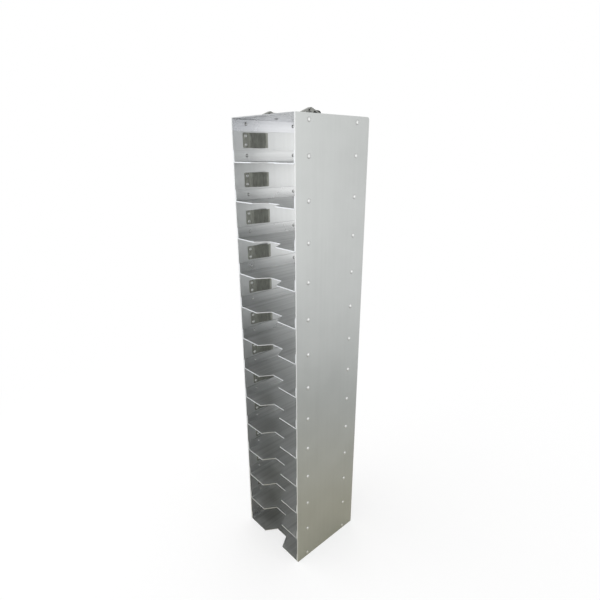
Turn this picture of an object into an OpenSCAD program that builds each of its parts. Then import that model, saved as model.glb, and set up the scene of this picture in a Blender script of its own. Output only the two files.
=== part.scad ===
// Upright freezer storage rack: two side panels carry a top plate, twelve folded
// shelf trays and a base tray. Each compartment has a spring clip on the left panel,
// and a folding bail handle lies on the top plate.
// Millimetres. X is the width, Y the depth with the open front at -Y, Z is up.
// The origin is the centre of the footprint, at the level the rack stands on.

/* [Rack] */
// Width over the outer faces of the side panels
rack_w = 140; // [120:1:170]
// Depth of the side panels
rack_d = 141.5; // [120:0.5:170]
// Height of the side panels
rack_h = 740; // [735:1:780]
// Thickness of the side panels
panel_t = 2; // [1.5:0.1:3]
// Radius of the top rear corner of each side panel
panel_corner_r = 4; // [1:0.5:8]

/* [Shelves] */
// Number of shelf trays between the top plate and the base tray
shelf_count = 12; // [2:1:12]
// Height from one shelf to the next
shelf_pitch = 56.87; // [50:0.01:57]
// Height from the underside of the first shelf to the top of the rack
first_drop = 61.65; // [58:0.05:64]
// Thickness of the shelf, base and top sheet
sheet_t = 1.5; // [1:0.1:2]
// Outer radius of the folded bends
bend_r = 2; // [2:0.1:3]
// Height of the side flanges over the outer face of the sheet
flange_h = 17.5; // [15:0.5:19]

/* [Finger notch] */
// Width of the notch at the front edge
notch_front_w = 52; // [40:1:80]
// Width of the notch at its inner end
notch_back_w = 26; // [15:1:40]
// Depth of the notch from the front edge
notch_depth = 20.5; // [10:0.5:35]

/* [Shelf rivets] */
// Radius of the rivet shanks
rivet_r = 1.6; // [1.2:0.1:2.4]
// Radius of the domed heads
rivet_head_r = 3.4; // [2.5:0.1:4]
// Height of the domed heads
rivet_head_h = 1.3; // [0.8:0.1:2]
// Distance of the front rivets behind the front edge
front_rivet_in = 23.25; // [10:0.25:40]
// Distance of the rear rivets before the rear edge
rear_rivet_in = 25.75; // [10:0.25:40]
// Height of a shelf's rivets over its underside
rivet_rise = 9.9; // [6:0.1:12]
// Height of the base tray's rivets over its underside
base_rivet_rise = 5.9; // [5:0.1:12]
// Depth of the top plate's rivets under its upper face
top_rivet_drop = 7.9; // [5:0.1:12]

/* [Spring clips] */
// Height of each clip strip
clip_h = 21.5; // [12:0.5:26]
// Length of the foot that is riveted to the panel
clip_foot_l = 14; // [10:0.5:20]
// Thickness of the strip
clip_t = 0.7; // [0.5:0.1:1]
// Distance of the clip's front end behind the front edge
clip_front_in = 18; // [10:0.5:30]
// Height of the clip's lower edge over the underside of its shelf
clip_rise = 20.75; // [19:0.25:24]
// Length of the sprung ramp
ramp_l = 25; // [15:0.5:35]
// Angle that the ramp stands off the panel at rest
ramp_angle = 12; // [9:0.5:15]
// Length of the tip, which turns back towards the panel
tip_l = 3; // [2:0.5:4]
// Angle between the tip and the panel at rest
tip_angle = 10; // [5:1:15]
// Length of the curl at the very end
curl_l = 2; // [1:0.5:2.5]
// Angle that the curl turns on from the tip
curl_angle = 20; // [10:1:25]
// Distance between the two rivets of a clip
clip_rivet_gap = 12.5; // [8:0.5:16]
// Distance of the clip rivets from the clip's front end
clip_rivet_in = 5; // [4:0.5:8]
// Radius of the clip rivet shanks
clip_rivet_r = 1.25; // [1:0.05:1.6]
// Radius of the clip rivet heads
clip_rivet_head_r = 2.4; // [2:0.1:3]

/* [Handle] */
// Diameter of the bail wire
wire_d = 5; // [4:0.1:6]
// Distance of the hinge axis before the rack's centre line
hinge_front = 20.75; // [0:0.25:35]
// Distance from the hinge axis to the cross bar
bail_reach = 26; // [22:0.5:34]
// Distance between the centre lines of the two legs
leg_span = 71; // [60:1:76]
// Radius of the bail's bends at the wire's centre line
bail_bend_r = 4.5; // [4:0.1:6]
// Outer diameter of the grip sleeve
grip_d = 7; // [6.5:0.1:8]
// Distance from the hinge axis to where the sleeve starts on each leg
grip_start = 14; // [12:0.5:18]
// Thickness of the bracket plate and of its bow
bracket_t = 2; // [1.5:0.1:2.5]
// Width of the bow that holds the wire
bow_w = 5.5; // [4:0.1:8]
// Slope of the bow's two sides
bow_slope = 22; // [18:1:30]

/* [Hidden] */
$fn = 48;
cut = 1;                                   // how far a cutting body runs past the sheet
tray_w = rack_w - 2 * panel_t;             // the trays fill the space between the panels
front_y = -rack_d / 2;
rear_y = rack_d / 2;
rivet_rows_y = [front_y + front_rivet_in, rear_y - rear_rivet_in];

// The set head of a rivet: its radius relative to the shank's, and its height
set_scale = 1.6;
set_h = 1.2;
clip_rivet_head_h = 1;
clip_set_h = 0.9;

// Clip: the tongue's root turns in a hair's gap behind the foot
clip_gap = 0.05;
clip_corner_r = 1;
clip_y0 = front_y + clip_front_in;
root_r = clip_t / 2;
wall_x = -rack_w / 2 + panel_t;
root_x = wall_x + root_r + clip_gap;
root_y = clip_y0 + clip_foot_l + clip_gap + root_r;

// Handle: the wire turns under the bow, just clear of the bracket plate
wire_r = wire_d / 2;
bow_clearance = 0.08;
plate_clearance = 0.25;
hinge_h = bracket_t + wire_r + plate_clearance;
hinge_y = -hinge_front;
leg_x = leg_span / 2;
bow_in_x = leg_x + bail_bend_r + 0.25;
bow_out_x = bow_in_x + bow_w;
bow_bore_r = wire_r + bow_clearance;
bow_top_r = bow_bore_r + bracket_t;
// Half the length of the plate under the bow, which ends a little beyond the bow's outer faces
bow_ledge = 1;
bow_half_l = bow_ledge + bow_top_r * sin(bow_slope)
    + (hinge_h - bracket_t + bow_top_r * cos(bow_slope)) / tan(bow_slope);
end_play = 0.75;
end_head_r = wire_r + 0.8;
end_head_t = 1.5;
grip_lift = 0.05;                          // the resting sleeve stays this far off the top plate
bail_drop = asin((hinge_h - grip_d / 2 - grip_lift) / bail_reach);
neck_half = 4;                             // the neck passes under the leg, the pad takes the rivet
pad_half = 7;
pad_in_x = leg_x - 13.5;
pad_out_x = leg_x - 3;
bracket_rivet_x = leg_x - 8;
bracket_rivet_r = 2;
bracket_rivet_head_r = 3.5;
bracket_rivet_head_h = 1.6;

function two_digits(i) = str(i < 10 ? "0" : "", i);
function shelf_name(i) = str("shelf_", two_digits(i));
function foot_name(i) = str("clip_foot_", two_digits(i));
function tongue_name(i) = str("clip_tongue_", two_digits(i));
// Underside of shelf i, counted from the top
function shelf_z(i) = rack_h - first_drop - (i - 1) * shelf_pitch;
// Underside of the sheet that floors compartment i, where the last one stands on the base tray
function floor_z(i) = i > shelf_count ? 0 : shelf_z(i);
// Height of every row of shelf rivets, from the top plate down to the base tray
rivet_rows_z = concat(
    [rack_h - top_rivet_drop],
    [for (i = [1 : shelf_count]) shelf_z(i) + rivet_rise],
    [base_rivet_rise]
);
compartments = shelf_count + 1;
clip_rivets_z = [for (i = [1 : compartments], s = [-1, 1])
    floor_z(i) + clip_rise + clip_h / 2 + s * clip_rivet_gap / 2];

// ---- Side panels ----

// The panel seen from the side: square corners, and one round one at the top rear
module panel_outline() {
    translate([front_y, 0])
        square([rack_d - panel_corner_r, rack_h]);
    translate([front_y, 0])
        square([rack_d, rack_h - panel_corner_r]);
    translate([rear_y - panel_corner_r, rack_h - panel_corner_r])
        circle(panel_corner_r);
}

module shelf_rivet_places() {
    for (y = rivet_rows_y, z = rivet_rows_z)
        translate([y, z])
            children();
}

module clip_rivet_places() {
    for (z = clip_rivets_z)
        translate([clip_y0 + clip_rivet_in, z])
            children();
}

// Draws its flat children in the side view, as a sheet that starts at x and runs towards +X
module side_sheet(x, thickness) {
    translate([x, 0, 0])
        rotate([90, 0, 90])
            linear_extrude(thickness)
                children();
}

module side_panel_right() {
    color("gainsboro")
        side_sheet(rack_w / 2 - panel_t, panel_t)
            difference() {
                panel_outline();
                shelf_rivet_places() circle(rivet_r);
            }
}

module side_panel_left() {
    color("gainsboro")
        side_sheet(-rack_w / 2, panel_t)
            difference() {
                panel_outline();
                shelf_rivet_places() circle(rivet_r);
                clip_rivet_places() circle(clip_rivet_r);
            }
}

// ---- Trays ----

// A quarter bend about the origin, from the flat sheet at the bottom round to the right
module bend() {
    intersection() {
        difference() {
            circle(bend_r);
            circle(bend_r - sheet_t);
        }
        translate([0, -bend_r])
            square(bend_r);
    }
}

// Front view of a tray: the flat sheet with a flange turned up at each side
module tray_profile() {
    flat_half = tray_w / 2 - bend_r;
    translate([-flat_half, 0])
        square([2 * flat_half, sheet_t]);
    for (side = [0, 1])
        mirror([side, 0]) {
            translate([flat_half, bend_r])
                bend();
            translate([tray_w / 2 - sheet_t, bend_r])
                square([sheet_t, flange_h - bend_r]);
        }
}

// A folded tray with its underside at z = 0 and its rivet holes at the given height
module tray(rivet_z) {
    difference() {
        translate([0, rear_y, 0])
            rotate([90, 0, 0])
                linear_extrude(rack_d)
                    tray_profile();
        for (y = rivet_rows_y)
            translate([0, y, rivet_z])
                rotate([0, 90, 0])
                    cylinder(h = tray_w + 2 * cut, r = rivet_r, center = true);
    }
}

// The finger notch, as a cutter that runs past the front edge and both faces of the sheet
module finger_notch() {
    translate([0, 0, -cut])
        linear_extrude(sheet_t + 2 * cut)
            polygon([
                [-notch_front_w / 2, front_y - cut],
                [notch_front_w / 2, front_y - cut],
                [notch_front_w / 2, front_y],
                [notch_back_w / 2, front_y + notch_depth],
                [-notch_back_w / 2, front_y + notch_depth],
                [-notch_front_w / 2, front_y]
            ]);
}

module shelf(i) {
    color("silver")
        translate([0, 0, shelf_z(i)])
            difference() {
                tray(rivet_rise);
                finger_notch();
            }
}

module base_tray() {
    color("silver")
        difference() {
            tray(base_rivet_rise);
            finger_notch();
        }
}

// The top plate is a tray turned over, with no notch, drilled for the handle brackets
module top_plate() {
    color("silver")
        translate([0, 0, rack_h])
            difference() {
                mirror([0, 0, 1])
                    tray(top_rivet_drop);
                for (side = [-1, 1])
                    translate([side * bracket_rivet_x, hinge_y, -sheet_t - cut])
                        cylinder(h = sheet_t + 2 * cut, r = bracket_rivet_r);
            }
}

// ---- Rivets ----

// A domed head of radius r and height h, standing on z = 0
module dome(r, h) {
    sphere_r = (r * r + h * h) / (2 * h);
    intersection() {
        translate([0, 0, h - sphere_r])
            sphere(sphere_r);
        cylinder(h = h, r = r);
    }
}

// A rivet through sheets of total thickness grip: the head's flat is at z = 0, the shank points
// down, and the set head closes its end
module rivet(shank_r, grip, head_r, head_h, set_head_h) {
    dome(head_r, head_h);
    translate([0, 0, -grip]) {
        cylinder(h = grip, r = shank_r);
        mirror([0, 0, 1])
            dome(set_scale * shank_r, set_head_h);
    }
}

// Shelf rivets of the right side, with their heads on the outside
module shelf_rivets() {
    for (y = rivet_rows_y, z = rivet_rows_z)
        translate([rack_w / 2, y, z])
            rotate([0, 90, 0])
                rivet(rivet_r, panel_t + sheet_t, rivet_head_r, rivet_head_h, set_h);
}

module shelf_rivets_right() {
    color("lightgray")
        shelf_rivets();
}

module shelf_rivets_left() {
    color("lightgray")
        mirror([1, 0, 0])
            shelf_rivets();
}

// Clip rivets, with their heads on the clips inside the rack
module clip_rivets() {
    color("lightgray")
        for (z = clip_rivets_z)
            translate([wall_x + clip_t, clip_y0 + clip_rivet_in, z])
                rotate([0, 90, 0])
                    rivet(clip_rivet_r, panel_t + clip_t, clip_rivet_head_r, clip_rivet_head_h, clip_set_h);
}

// ---- Spring clips ----

// The riveted end of clip i, flat on the panel
module clip_foot(i) {
    color("dimgray")
        translate([0, 0, floor_z(i) + clip_rise])
            side_sheet(wall_x, clip_t)
                difference() {
                    translate([clip_y0, 0])
                        clip_foot_outline();
                    for (s = [-1, 1])
                        translate([clip_y0 + clip_rivet_in, clip_h / 2 + s * clip_rivet_gap / 2])
                            circle(clip_rivet_r);
                }
}

// The foot from the side: its two front corners are rounded
module clip_foot_outline() {
    translate([clip_corner_r, 0])
        square([clip_foot_l - clip_corner_r, clip_h]);
    translate([0, clip_corner_r])
        square([clip_foot_l, clip_h - 2 * clip_corner_r]);
    for (z = [clip_corner_r, clip_h - clip_corner_r])
        translate([clip_corner_r, z])
            circle(clip_corner_r);
}

// One straight stretch of the strip in plan, with both ends round, running towards +Y
module strip(length) {
    translate([-root_r, 0])
        square([clip_t, length]);
    for (y = [0, length])
        translate([0, y])
            circle(root_r);
}

// The sprung end of clip i: a ramp into the compartment, then a tip that curls back
module clip_tongue(i) {
    color("gray")
        translate([root_x, root_y, floor_z(i) + clip_rise])
            linear_extrude(clip_h)
                rotate(-ramp_angle) {
                    strip(ramp_l);
                    translate([0, ramp_l])
                        rotate(ramp_angle + tip_angle) {
                            strip(tip_l);
                            translate([0, tip_l])
                                rotate(curl_angle)
                                    strip(curl_l);
                        }
                }
}

// ---- Handle ----

// Side view of a round top about the hinge axis whose two sides fall in straight lines to y = foot_y
module bow_outline(r, foot_y) {
    side_x = r * sin(bow_slope);
    side_y = hinge_h + r * cos(bow_slope);
    foot_x = side_x + (side_y - foot_y) / tan(bow_slope);
    translate([0, hinge_h])
        circle(r);
    polygon([[-foot_x, foot_y], [foot_x, foot_y], [side_x, side_y], [-side_x, side_y]]);
}

// Side view of the bow and of the plate under it
module bow_profile() {
    difference() {
        union() {
            bow_outline(bow_top_r, bracket_t / 2);
            translate([-bow_half_l, 0])
                square([2 * bow_half_l, bracket_t]);
        }
        intersection() {
            bow_outline(bow_bore_r, bracket_t);
            translate([-bow_half_l, bracket_t])
                square([2 * bow_half_l, hinge_h + bow_top_r]);
        }
    }
}

// Plan of the bracket beside the bow: a neck that passes under the leg, and a pad with a round end
module bracket_plan() {
    difference() {
        union() {
            translate([bracket_rivet_x, -neck_half])
                square([bow_in_x + bow_w / 2 - bracket_rivet_x, 2 * neck_half]);
            translate([pad_in_x + pad_half, -pad_half])
                square([pad_out_x - pad_in_x - pad_half, 2 * pad_half]);
            translate([pad_in_x + pad_half, 0])
                circle(pad_half);
        }
        translate([bracket_rivet_x, 0])
            circle(bracket_rivet_r);
    }
}

// The right bracket: a bow on a plate, with a neck and a pad for its one rivet
module handle_bracket() {
    translate([0, hinge_y, rack_h]) {
        side_sheet(bow_in_x, bow_w)
            bow_profile();
        linear_extrude(bracket_t)
            bracket_plan();
    }
}

module handle_bracket_right() {
    color("lightsteelblue")
        handle_bracket();
}

module handle_bracket_left() {
    color("lightsteelblue")
        mirror([1, 0, 0])
            handle_bracket();
}

module bracket_rivets() {
    color("lightgray")
        for (side = [-1, 1])
            translate([side * bracket_rivet_x, hinge_y, rack_h + bracket_t])
                rivet(bracket_rivet_r, bracket_t + sheet_t, bracket_rivet_head_r, bracket_rivet_head_h, set_h);
}

// Puts a bail drawn flat about its hinge axis in its place, folded back onto the top plate
module bail_place() {
    translate([0, hinge_y, rack_h + hinge_h])
        rotate([-bail_drop, 0, 0])
            children();
}

// A quarter turn of rod about the origin, from the -Y side round to the +X side
module rod_bend(r) {
    rotate([0, 0, -90])
        rotate_extrude(angle = 90)
            translate([bail_bend_r, 0])
                circle(r);
}

// The cross bar, its two bends and the legs back to leg_y, as one rod
module bail_loop(r, leg_y) {
    bar_half = leg_x - bail_bend_r;
    translate([-bar_half, bail_reach, 0])
        rotate([0, 90, 0])
            cylinder(h = 2 * bar_half, r = r);
    for (side = [0, 1])
        mirror([side, 0, 0]) {
            translate([bar_half, bail_reach - bail_bend_r, 0])
                rotate([0, 0, 90])
                    rod_bend(r);
            translate([leg_x, leg_y, 0])
                rotate([-90, 0, 0])
                    cylinder(h = bail_reach - bail_bend_r - leg_y, r = r);
        }
}

// One hinge end of the bail: the bend out of the leg, the pin under the bow and its upset end
module bail_end() {
    pin_out_x = bow_out_x + end_play;
    translate([leg_x + bail_bend_r, bail_bend_r, 0])
        mirror([1, 0, 0])
            rod_bend(wire_r);
    translate([leg_x + bail_bend_r, 0, 0])
        rotate([0, 90, 0])
            cylinder(h = pin_out_x - leg_x - bail_bend_r, r = wire_r);
    translate([pin_out_x, 0, 0])
        rotate([0, 90, 0])
            cylinder(h = end_head_t, r1 = end_head_r, r2 = wire_r);
}

module handle_bail() {
    color("lightsteelblue")
        bail_place() {
            bail_loop(wire_r, bail_bend_r);
            for (side = [0, 1])
                mirror([side, 0, 0])
                    bail_end();
        }
}

module handle_grip() {
    color([0.1, 0.1, 0.11])
        bail_place()
            difference() {
                bail_loop(grip_d / 2, grip_start);
                bail_loop(wire_r, grip_start - cut);
            }
}

// ---- Nodes ----

side_panel_left();
side_panel_right();
top_plate();
base_tray();
for (i = [1 : shelf_count])
    shelf(i);
for (i = [1 : compartments])
    clip_foot(i);
for (i = [1 : compartments])
    clip_tongue(i);
shelf_rivets_left();
shelf_rivets_right();
clip_rivets();
handle_bracket_left();
handle_bracket_right();
bracket_rivets();
handle_bail();
handle_grip();
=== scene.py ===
"""The looks of a freezer storage rack: satin aluminium sheet, spring clips and a folding handle."""

import math

import bmesh
import bpy
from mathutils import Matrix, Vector


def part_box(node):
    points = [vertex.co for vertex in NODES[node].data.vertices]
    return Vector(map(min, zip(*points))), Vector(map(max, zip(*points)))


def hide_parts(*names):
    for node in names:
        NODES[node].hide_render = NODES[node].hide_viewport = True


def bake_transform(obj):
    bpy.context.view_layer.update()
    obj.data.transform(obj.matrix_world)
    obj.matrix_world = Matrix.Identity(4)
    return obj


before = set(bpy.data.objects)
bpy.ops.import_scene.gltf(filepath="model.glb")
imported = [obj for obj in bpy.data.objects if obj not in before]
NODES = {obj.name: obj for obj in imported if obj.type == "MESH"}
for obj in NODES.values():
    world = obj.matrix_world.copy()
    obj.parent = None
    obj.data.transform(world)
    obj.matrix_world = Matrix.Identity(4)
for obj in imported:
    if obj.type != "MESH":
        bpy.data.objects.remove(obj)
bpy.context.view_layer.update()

MM = 0.001
COMPARTMENTS = 13

# A clip's strip in plan: straight lengths in millimetres (foot, ramp, tip, curl), the turns between them in
# degrees, and the radius of the bends and of the strip's end corners
CLIP_LEGS = (14.08, 24.10, 1.89, 1.82)
CLIP_TURNS = (12.0, -22.0, -20.0)
CLIP_BEND_R = 3.0
CLIP_CORNER_R = 1.2

# Into how many pieces each length and bend, and the strip's height, are divided
CLIP_STEPS = 10
CLIP_ROWS = 8

# Softened edges in millimetres, on every corner sharper than this angle
SHEET_BEVEL = 0.15
BRACKET_BEVEL = 0.2
CLIP_BEVEL = 0.12
SHARP = math.radians(50)

# The outer faces of the side panels lie past this distance from the middle, in metres
OUTER_FROM = 0.0692
OUTER_TO = 0.0698

ROUND_GRAIN = (1, 1, 1)
GRAIN_ALONG_Y = (1, 0.03, 1)
GRAIN_ALONG_Z = (1, 1, 0.03)


# ---- Node helpers ----

def new_material(name):
    """A material with only a Principled shader."""
    material = bpy.data.materials.new(name)
    material.use_nodes = True
    tree = material.node_tree
    tree.nodes.clear()
    output = tree.nodes.new("ShaderNodeOutputMaterial")
    shader = tree.nodes.new("ShaderNodeBsdfPrincipled")
    tree.links.new(shader.outputs[0], output.inputs["Surface"])
    return material, tree, shader


def node(tree, kind, inputs=(), **settings):
    """A new node: settings are its properties, inputs its sockets' values or links."""
    made = tree.nodes.new(kind)
    for key, value in settings.items():
        setattr(made, key, value)
    for key, value in dict(inputs).items():
        if isinstance(value, bpy.types.NodeSocket):
            tree.links.new(value, made.inputs[key])
        else:
            made.inputs[key].default_value = value
    return made


def math_node(tree, operation, a, b=0.0):
    return node(tree, "ShaderNodeMath", {0: a, 1: b}, operation=operation).outputs[0]


def remap(tree, value, low, high, to_low, to_high, interpolation="LINEAR"):
    """value moved from the range low..high to to_low..to_high, and held inside it."""
    inputs = {"Value": value, "From Min": low, "From Max": high, "To Min": to_low, "To Max": to_high}
    return node(tree, "ShaderNodeMapRange", inputs, interpolation_type=interpolation).outputs["Result"]


def mix_colour(tree, factor, a, b):
    return node(tree, "ShaderNodeMix", {0: factor, 6: a, 7: b}, data_type="RGBA").outputs[2]


def shade(colour, factor):
    """colour made darker or lighter by factor, as an opaque colour."""
    return tuple(min(1.0, part * factor) for part in colour[:3]) + (1,)


def noise(tree, stretch, scale, detail, roughness):
    """Noise over the part, drawn out along the axes whose stretch is below 1."""
    place = node(tree, "ShaderNodeTexCoord").outputs["Object"]
    stretched = node(tree, "ShaderNodeMapping", {"Vector": place, "Scale": stretch}).outputs[0]
    inputs = {"Vector": stretched, "Scale": scale, "Detail": detail, "Roughness": roughness}
    return node(tree, "ShaderNodeTexNoise", inputs).outputs["Fac"]


def bump(tree, height, strength, distance, under=None):
    """The normal that height gives, over the normal of an earlier bump."""
    inputs = {"Height": height, "Strength": strength, "Distance": distance}
    if under is not None:
        inputs["Normal"] = under
    return node(tree, "ShaderNodeBump", inputs).outputs["Normal"]


def squareness(tree, axis):
    """How squarely the surface faces along that axis of the part, either way: 1 is straight, 0 is edge-on."""
    normal = node(tree, "ShaderNodeTexCoord").outputs["Normal"]
    parts = node(tree, "ShaderNodeSeparateXYZ", {0: normal}).outputs
    return math_node(tree, "ABSOLUTE", parts[axis])


def facing(tree, axis):
    """1 where the surface faces along that axis of the part, either way, and 0 elsewhere."""
    return remap(tree, squareness(tree, axis), 0.7, 0.9, 0.0, 1.0)


def outside(tree):
    """1 on the two outer faces of the rack's sides, which are scuffed and painted darker as shade, and 0
    inside it.
    """
    place = node(tree, "ShaderNodeTexCoord").outputs["Object"]
    across = math_node(tree, "ABSOLUTE", node(tree, "ShaderNodeSeparateXYZ", {0: place}).outputs["X"])
    return remap(tree, across, OUTER_FROM, OUTER_TO, 0.0, 1.0)


# ---- Materials ----

SHEARED_ROUGHNESS = 0.6
# The outer faces of the sides are mixed this far towards this dark grey, as painted shade
OUTER_SHADE = (0.295, 0.312, 0.297, 1)
OUTER_SHADE_SHARE = 0.48
# The dark grey of the shade painted round the low edge of a domed head
HEAD_SHADE_COLOUR = (0.10, 0.10, 0.095, 1)


def sheet_metal(name, colour, edge_colour, roughness, grain, streaks, flange_smoother=0.0):
    """Rolled aluminium sheet: fine lines along the rolling direction, cloudy patches, and sheared edges
    at the front and rear. streaks is how far the wide lines show. Faces across X are smoother by
    flange_smoother, and the outermost of them are scuffed and painted darker, as painted shade."""
    material, tree, shader = new_material(name)
    lines = noise(tree, grain, 900.0, 4.0, 0.65)
    wide_lines = noise(tree, grain, 130.0, 3.0, 0.6)
    clouds = noise(tree, ROUND_GRAIN, 14.0, 4.0, 0.55)
    marks = noise(tree, ROUND_GRAIN, 160.0, 6.0, 0.7)
    edge = facing(tree, "Y")
    outer = outside(tree)

    patchy = mix_colour(tree, remap(tree, clouds, 0.3, 0.7, 0.0, 1.0), shade(colour, 0.90), colour)
    light_lines = remap(tree, wide_lines, 0.40, 0.75, 0.0, 0.2 + 0.8 * streaks)
    lined = mix_colour(tree, light_lines, patchy, shade(colour, 1.08))
    dark_lines = remap(tree, wide_lines, 0.55, 0.25, 0.0, streaks)
    lined = mix_colour(tree, dark_lines, lined, shade(colour, 0.72))
    # Painted shade: the outer faces of the sides are mixed towards a dark grey
    outer_shaded = mix_colour(tree, math_node(tree, "MULTIPLY", outer, OUTER_SHADE_SHARE), lined, OUTER_SHADE)
    tree.links.new(mix_colour(tree, edge, outer_shaded, edge_colour), shader.inputs["Base Color"])

    cloudy = remap(tree, clouds, 0.25, 0.75, roughness - 0.03, roughness + 0.04)
    scuffs = math_node(tree, "MULTIPLY", outer, remap(tree, marks, 0.55, 0.8, 0.0, 0.06))
    smoother = math_node(tree, "MULTIPLY", facing(tree, "X"), flange_smoother)
    scuffed = math_node(tree, "SUBTRACT", math_node(tree, "ADD", cloudy, scuffs), smoother)
    sheared = math_node(tree, "MULTIPLY", edge, SHEARED_ROUGHNESS)
    tree.links.new(math_node(tree, "MAXIMUM", scuffed, sheared), shader.inputs["Roughness"])

    shader.inputs["Metallic"].default_value = 1.0
    fine = bump(tree, lines, 0.25, 0.00004)
    tree.links.new(bump(tree, wide_lines, 0.08, 0.0002, fine), shader.inputs["Normal"])
    return material


def plain_metal(name, colour, roughness, scale, stretch=ROUND_GRAIN, darker=0.82, rim_shade=0.0):
    """A small metal part: mottled, or streaked where stretched, down to a darker shade, and finely uneven.
    rim paints shade on the low edge of a domed head, a dark ring all round it."""
    material, tree, shader = new_material(name)
    spots = noise(tree, stretch, scale, 5.0, 0.6)
    mottled = mix_colour(tree, remap(tree, spots, 0.3, 0.7, 0.0, 1.0), shade(colour, darker), colour)
    crown = math_node(tree, "MAXIMUM", squareness(tree, "X"), squareness(tree, "Z"))
    # Painted shade: the flanks of a domed head near its base are mixed towards a dark grey, all round
    painted_head_shade = remap(tree, crown, 0.76, 0.90, rim_shade, 0.0)
    tree.links.new(mix_colour(tree, painted_head_shade, mottled, HEAD_SHADE_COLOUR), shader.inputs["Base Color"])
    uneven = remap(tree, spots, 0.3, 0.7, roughness + 0.08, roughness - 0.04)
    tree.links.new(uneven, shader.inputs["Roughness"])
    shader.inputs["Metallic"].default_value = 1.0
    tree.links.new(bump(tree, spots, 0.15, 0.0001), shader.inputs["Normal"])
    return material


def vinyl(name, colour):
    """The grip's soft plastic: near black, paler where worn, with a dull shine."""
    material, tree, shader = new_material(name)
    pores = noise(tree, ROUND_GRAIN, 1400.0, 3.0, 0.6)
    wear = noise(tree, ROUND_GRAIN, 120.0, 4.0, 0.6)
    worn = mix_colour(tree, remap(tree, wear, 0.45, 0.75, 0.0, 0.6), colour, shade(colour, 2.2))
    tree.links.new(worn, shader.inputs["Base Color"])
    tree.links.new(remap(tree, wear, 0.3, 0.7, 0.62, 0.74), shader.inputs["Roughness"])
    tree.links.new(bump(tree, pores, 0.2, 0.0001), shader.inputs["Normal"])
    return material


PANEL = sheet_metal("panel_aluminium", (0.71, 0.722, 0.72, 1), (0.71, 0.72, 0.72, 1), 0.37,
                    grain=GRAIN_ALONG_Z, streaks=0.05)
TRAY = sheet_metal("tray_aluminium", (0.664, 0.674, 0.674, 1), (0.75, 0.77, 0.79, 1), 0.42,
                   grain=GRAIN_ALONG_Y, streaks=0.6, flange_smoother=0.14)
# The plate's front and rear edges are painted a dark grey: painted shade along them
PLATE = sheet_metal("plate_aluminium", (0.74, 0.75, 0.77, 1), (0.42, 0.43, 0.44, 1), 0.28,
                    grain=GRAIN_ALONG_Y, streaks=0.2)
# The rivet heads get a painted ring of shade round their low edge
RIVET = plain_metal("rivet_aluminium", (0.73, 0.74, 0.73, 1), 0.32, 900.0, rim_shade=0.6)
CLIP_RIVET = plain_metal("clip_rivet_aluminium", (0.80, 0.81, 0.80, 1), 0.36, 900.0)
SPRING = plain_metal("spring_steel", (0.42, 0.43, 0.385, 1), 0.46, 420.0, stretch=(1, 1, 0.25), darker=0.66)
STEEL = plain_metal("handle_steel", (0.27, 0.275, 0.258, 1), 0.36, 500.0)
VINYL = vinyl("grip_vinyl", (0.012, 0.012, 0.013, 1))


# ---- Pieces ----

def soften(piece, width):
    """Rounds the sharp edges of a piece by a bevel, its width in millimetres."""
    softened = piece.modifiers.new("soft_edges", "BEVEL")
    softened.width = width * MM
    softened.segments = 2
    softened.limit_method = "ANGLE"
    softened.angle_limit = SHARP
    return softened


def dress(name, material, bevel=0.0):
    """Gives a CAD node its material, and softens its edges. Its triangles are first joined to whole faces,
    because a bevel that meets their thin ends leaves dark lines across a flat sheet."""
    piece = NODES[name]
    piece.data.materials.clear()
    piece.data.materials.append(material)
    if bevel:
        weld = piece.modifiers.new("join_seams", "WELD")
        weld.merge_threshold = 0.000002
        joined = piece.modifiers.new("join_faces", "DECIMATE")
        joined.decimate_type = "DISSOLVE"
        joined.angle_limit = math.radians(0.2)
        soften(piece, bevel)


def strip_path():
    """Points in metres, and headings, along a clip's strip in plan: it starts along +Y with its foot."""
    x, y, heading = 0.0, 0.0, 0.0
    path = [(x, y, heading)]
    for leg, turn in zip(CLIP_LEGS, CLIP_TURNS + (0.0,)):
        for _ in range(CLIP_STEPS):
            x += math.sin(heading) * leg * MM / CLIP_STEPS
            y += math.cos(heading) * leg * MM / CLIP_STEPS
            path.append((x, y, heading))
        if turn:
            arc = abs(math.radians(turn)) * CLIP_BEND_R * MM
            for _ in range(CLIP_STEPS):
                heading += math.radians(turn) / (2 * CLIP_STEPS)
                x += math.sin(heading) * arc / CLIP_STEPS
                y += math.cos(heading) * arc / CLIP_STEPS
                heading += math.radians(turn) / (2 * CLIP_STEPS)
                path.append((x, y, heading))
    return path


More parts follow.
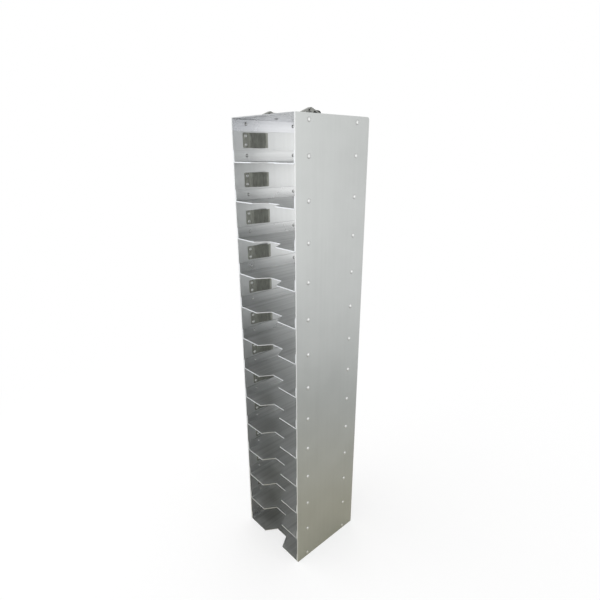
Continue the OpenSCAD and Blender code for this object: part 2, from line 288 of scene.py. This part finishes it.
def strip_mesh(name, path, start, thickness, height):
    """A mesh of sheet metal that stands along a path in plan, with its four corners rounded.
    start is the lowest point of the path's first end, in the middle of the sheet's thickness."""
    lengths = [0.0]
    for (xa, ya, _), (xb, yb, _) in zip(path, path[1:]):
        lengths.append(lengths[-1] + math.hypot(xb - xa, yb - ya))
    corner = CLIP_CORNER_R * MM
    bm = bmesh.new()
    columns = []
    for (x, y, heading), along in zip(path, lengths):
        from_end = min(along, lengths[-1] - along, corner)
        inset = corner - math.sqrt(max(0.0, corner ** 2 - (corner - from_end) ** 2))
        column = []
        for side in (-0.5, 0.5):
            px = start.x + x + math.cos(heading) * side * thickness
            py = start.y + y - math.sin(heading) * side * thickness
            for row in range(CLIP_ROWS + 1):
                pz = start.z + inset + (height - 2 * inset) * row / CLIP_ROWS
                column.append(bm.verts.new((px, py, pz)))
        columns.append(column)

    # Each column holds one side's points from the bottom up, then the other side's, which start at back
    back = CLIP_ROWS + 1
    for a, b in zip(columns, columns[1:]):
        for row in range(CLIP_ROWS):
            bm.faces.new((a[row], a[row + 1], b[row + 1], b[row]))
            bm.faces.new((a[back + row], b[back + row], b[back + row + 1], a[back + row + 1]))
        bm.faces.new((a[0], b[0], b[back], a[back]))
        bm.faces.new((a[CLIP_ROWS], a[back + CLIP_ROWS], b[back + CLIP_ROWS], b[CLIP_ROWS]))
    for column in (columns[0], columns[-1]):
        for row in range(CLIP_ROWS):
            bm.faces.new((column[row], column[back + row], column[back + row + 1], column[row + 1]))
    bmesh.ops.recalc_face_normals(bm, faces=bm.faces)
    mesh = bpy.data.meshes.new(name)
    bm.to_mesh(mesh)
    bm.free()
    mesh.shade_smooth()
    return mesh


def add_clip(number):
    """One spring clip as the single bent strip that it is, in place of its foot and tongue."""
    low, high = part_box(f"clip_foot_{number:02d}")
    thickness = high.x - low.x
    start = Vector((low.x + thickness / 2, low.y, low.z))
    mesh = strip_mesh(f"clip_strip_{number:02d}", strip_path(), start, thickness, high.z - low.z)
    piece = bpy.data.objects.new(mesh.name, mesh)
    bpy.context.scene.collection.objects.link(piece)
    piece.data.materials.append(SPRING)
    soften(piece, CLIP_BEVEL).harden_normals = True
    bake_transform(piece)
    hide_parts(f"clip_foot_{number:02d}", f"clip_tongue_{number:02d}")


for name in NODES:
    if name.startswith("side_panel"):
        dress(name, PANEL, SHEET_BEVEL)
    elif name.startswith("shelf_rivets") or name == "bracket_rivets":
        dress(name, RIVET)
    elif name == "clip_rivets":
        dress(name, CLIP_RIVET)
    elif name == "top_plate":
        dress(name, PLATE, SHEET_BEVEL)
    elif name.startswith("shelf_") or name == "base_tray":
        dress(name, TRAY, SHEET_BEVEL)
    elif name.startswith("handle_bracket"):
        dress(name, STEEL, BRACKET_BEVEL)
    elif name == "handle_bail":
        dress(name, STEEL)
    elif name == "handle_grip":
        dress(name, VINYL)
for number in range(1, COMPARTMENTS + 1):
    add_clip(number)


# ---- Camera ----

def add_camera():
    """A camera at the photograph's place: right of the open front, a little below the top of the rack."""
    camera = bpy.data.cameras.new("camera")
    camera.sensor_width = 36.0
    camera.lens = 26.431
    camera.shift_x = -0.00638
    camera.shift_y = 0.02357
    holder = bpy.data.objects.new("camera", camera)
    bpy.context.scene.collection.objects.link(holder)
    azimuth = math.radians(47.38)
    pitch = math.radians(20.1)
    level = math.cos(pitch)
    back = Vector((math.sin(azimuth) * level, -math.cos(azimuth) * level, math.sin(pitch)))
    holder.location = (0.512287, -0.463492, 0.692067)
    holder.rotation_euler = back.to_track_quat("Z", "Y").to_euler()
    bpy.context.scene.camera = holder


# ---- Light and stage ----

FLOOR_RADIUS = 30.0
WHITE = (1, 1, 1, 1)


def add_area(name, place, target, side, power):
    """A square lamp that faces its target, its side in metres and its power in watts."""
    lamp = bpy.data.lights.new(name, "AREA")
    lamp.shape = "SQUARE"
    lamp.size = side
    lamp.energy = power
    holder = bpy.data.objects.new(name, lamp)
    bpy.context.scene.collection.objects.link(holder)
    holder.location = place
    holder.rotation_euler = (Vector(place) - Vector(target)).to_track_quat("Z", "Y").to_euler()


def floor_material():
    """Pale paper that turns into pure white further out. The camera sees it as near white, with only a part
    of the real shadow on it. Metal mirrors it as grey paper, warmer near the rack, and white further out."""
    material = bpy.data.materials.new("floor")
    material.use_nodes = True
    tree = material.node_tree
    tree.nodes.clear()
    output = tree.nodes.new("ShaderNodeOutputMaterial")
    place = node(tree, "ShaderNodeTexCoord").outputs["Object"]
    distance = node(tree, "ShaderNodeVectorMath", {0: place}, operation="LENGTH").outputs["Value"]
    far_for_camera = remap(tree, distance, 0.4, 1.05, 0.0, 1.0, "SMOOTHSTEP")
    far_in_metal = remap(tree, distance, 0.6, 1.3, 0.0, 1.0, "SMOOTHSTEP")
    white = node(tree, "ShaderNodeEmission", {"Color": WHITE, "Strength": 1.0}).outputs[0]

    paper_colour = mix_colour(tree, remap(tree, distance, 0.15, 0.55, 0.0, 1.0),
                              (0.77, 0.735, 0.60, 1), (0.76, 0.77, 0.755, 1))
    grey_paper = node(tree, "ShaderNodeBsdfDiffuse", {"Color": paper_colour}).outputs[0]
    paths = node(tree, "ShaderNodeLightPath").outputs
    in_metal = math_node(tree, "MAXIMUM", paths["Is Glossy Ray"], paths["Is Transmission Ray"])
    white_share = math_node(tree, "MULTIPLY", in_metal, far_in_metal)
    real = node(tree, "ShaderNodeMixShader", {0: white_share, 1: grey_paper, 2: white}).outputs[0]

    glow = node(tree, "ShaderNodeEmission", {"Color": WHITE, "Strength": 0.585}).outputs[0]
    thin_paper = node(tree, "ShaderNodeBsdfDiffuse", {"Color": (0.50, 0.50, 0.50, 1)}).outputs[0]
    backlit = node(tree, "ShaderNodeAddShader", {0: glow, 1: thin_paper}).outputs[0]
    seen = node(tree, "ShaderNodeMixShader", {0: far_for_camera, 1: backlit, 2: white}).outputs[0]

    both = node(tree, "ShaderNodeMixShader", {0: paths["Is Camera Ray"], 1: real, 2: seen})
    tree.links.new(both.outputs[0], output.inputs["Surface"])
    return material


def add_floor():
    bm = bmesh.new()
    bmesh.ops.create_circle(bm, cap_ends=True, segments=96, radius=FLOOR_RADIUS)
    mesh = bpy.data.meshes.new("floor")
    bm.to_mesh(mesh)
    bm.free()
    mesh.materials.append(floor_material())
    floor = bpy.data.objects.new("floor", mesh)
    bpy.context.scene.collection.objects.link(floor)


def add_world():
    """White all round for the camera and for reflections, and a plain soft level of light."""
    world = bpy.data.worlds.new("studio")
    bpy.context.scene.world = world
    world.use_nodes = True
    tree = world.node_tree
    tree.nodes.clear()
    output = tree.nodes.new("ShaderNodeOutputWorld")
    paths = node(tree, "ShaderNodeLightPath").outputs
    shown = math_node(tree, "MAXIMUM", paths["Is Camera Ray"], paths["Is Glossy Ray"])
    shown = math_node(tree, "MAXIMUM", shown, paths["Is Transmission Ray"])
    strength = remap(tree, shown, 0.0, 1.0, 0.7, 1.0)
    background = node(tree, "ShaderNodeBackground", {"Color": WHITE, "Strength": strength})
    tree.links.new(background.outputs[0], output.inputs["Surface"])


add_camera()
add_floor()
add_world()
add_area("front_light", (-1.4, -1.7, 1.3), (0.0, 0.0, 0.4), 3.4, 22.0)
add_area("side_light", (1.9, 0.62, 0.70), (0.0, 0.0, 0.50), 1.6, 5.0)
add_area("rear_light", (-1.9, 1.7, 0.85), (0.0, 0.0, 0.60), 1.8, 8.0)
bpy.context.scene.view_settings.view_transform = "Standard"
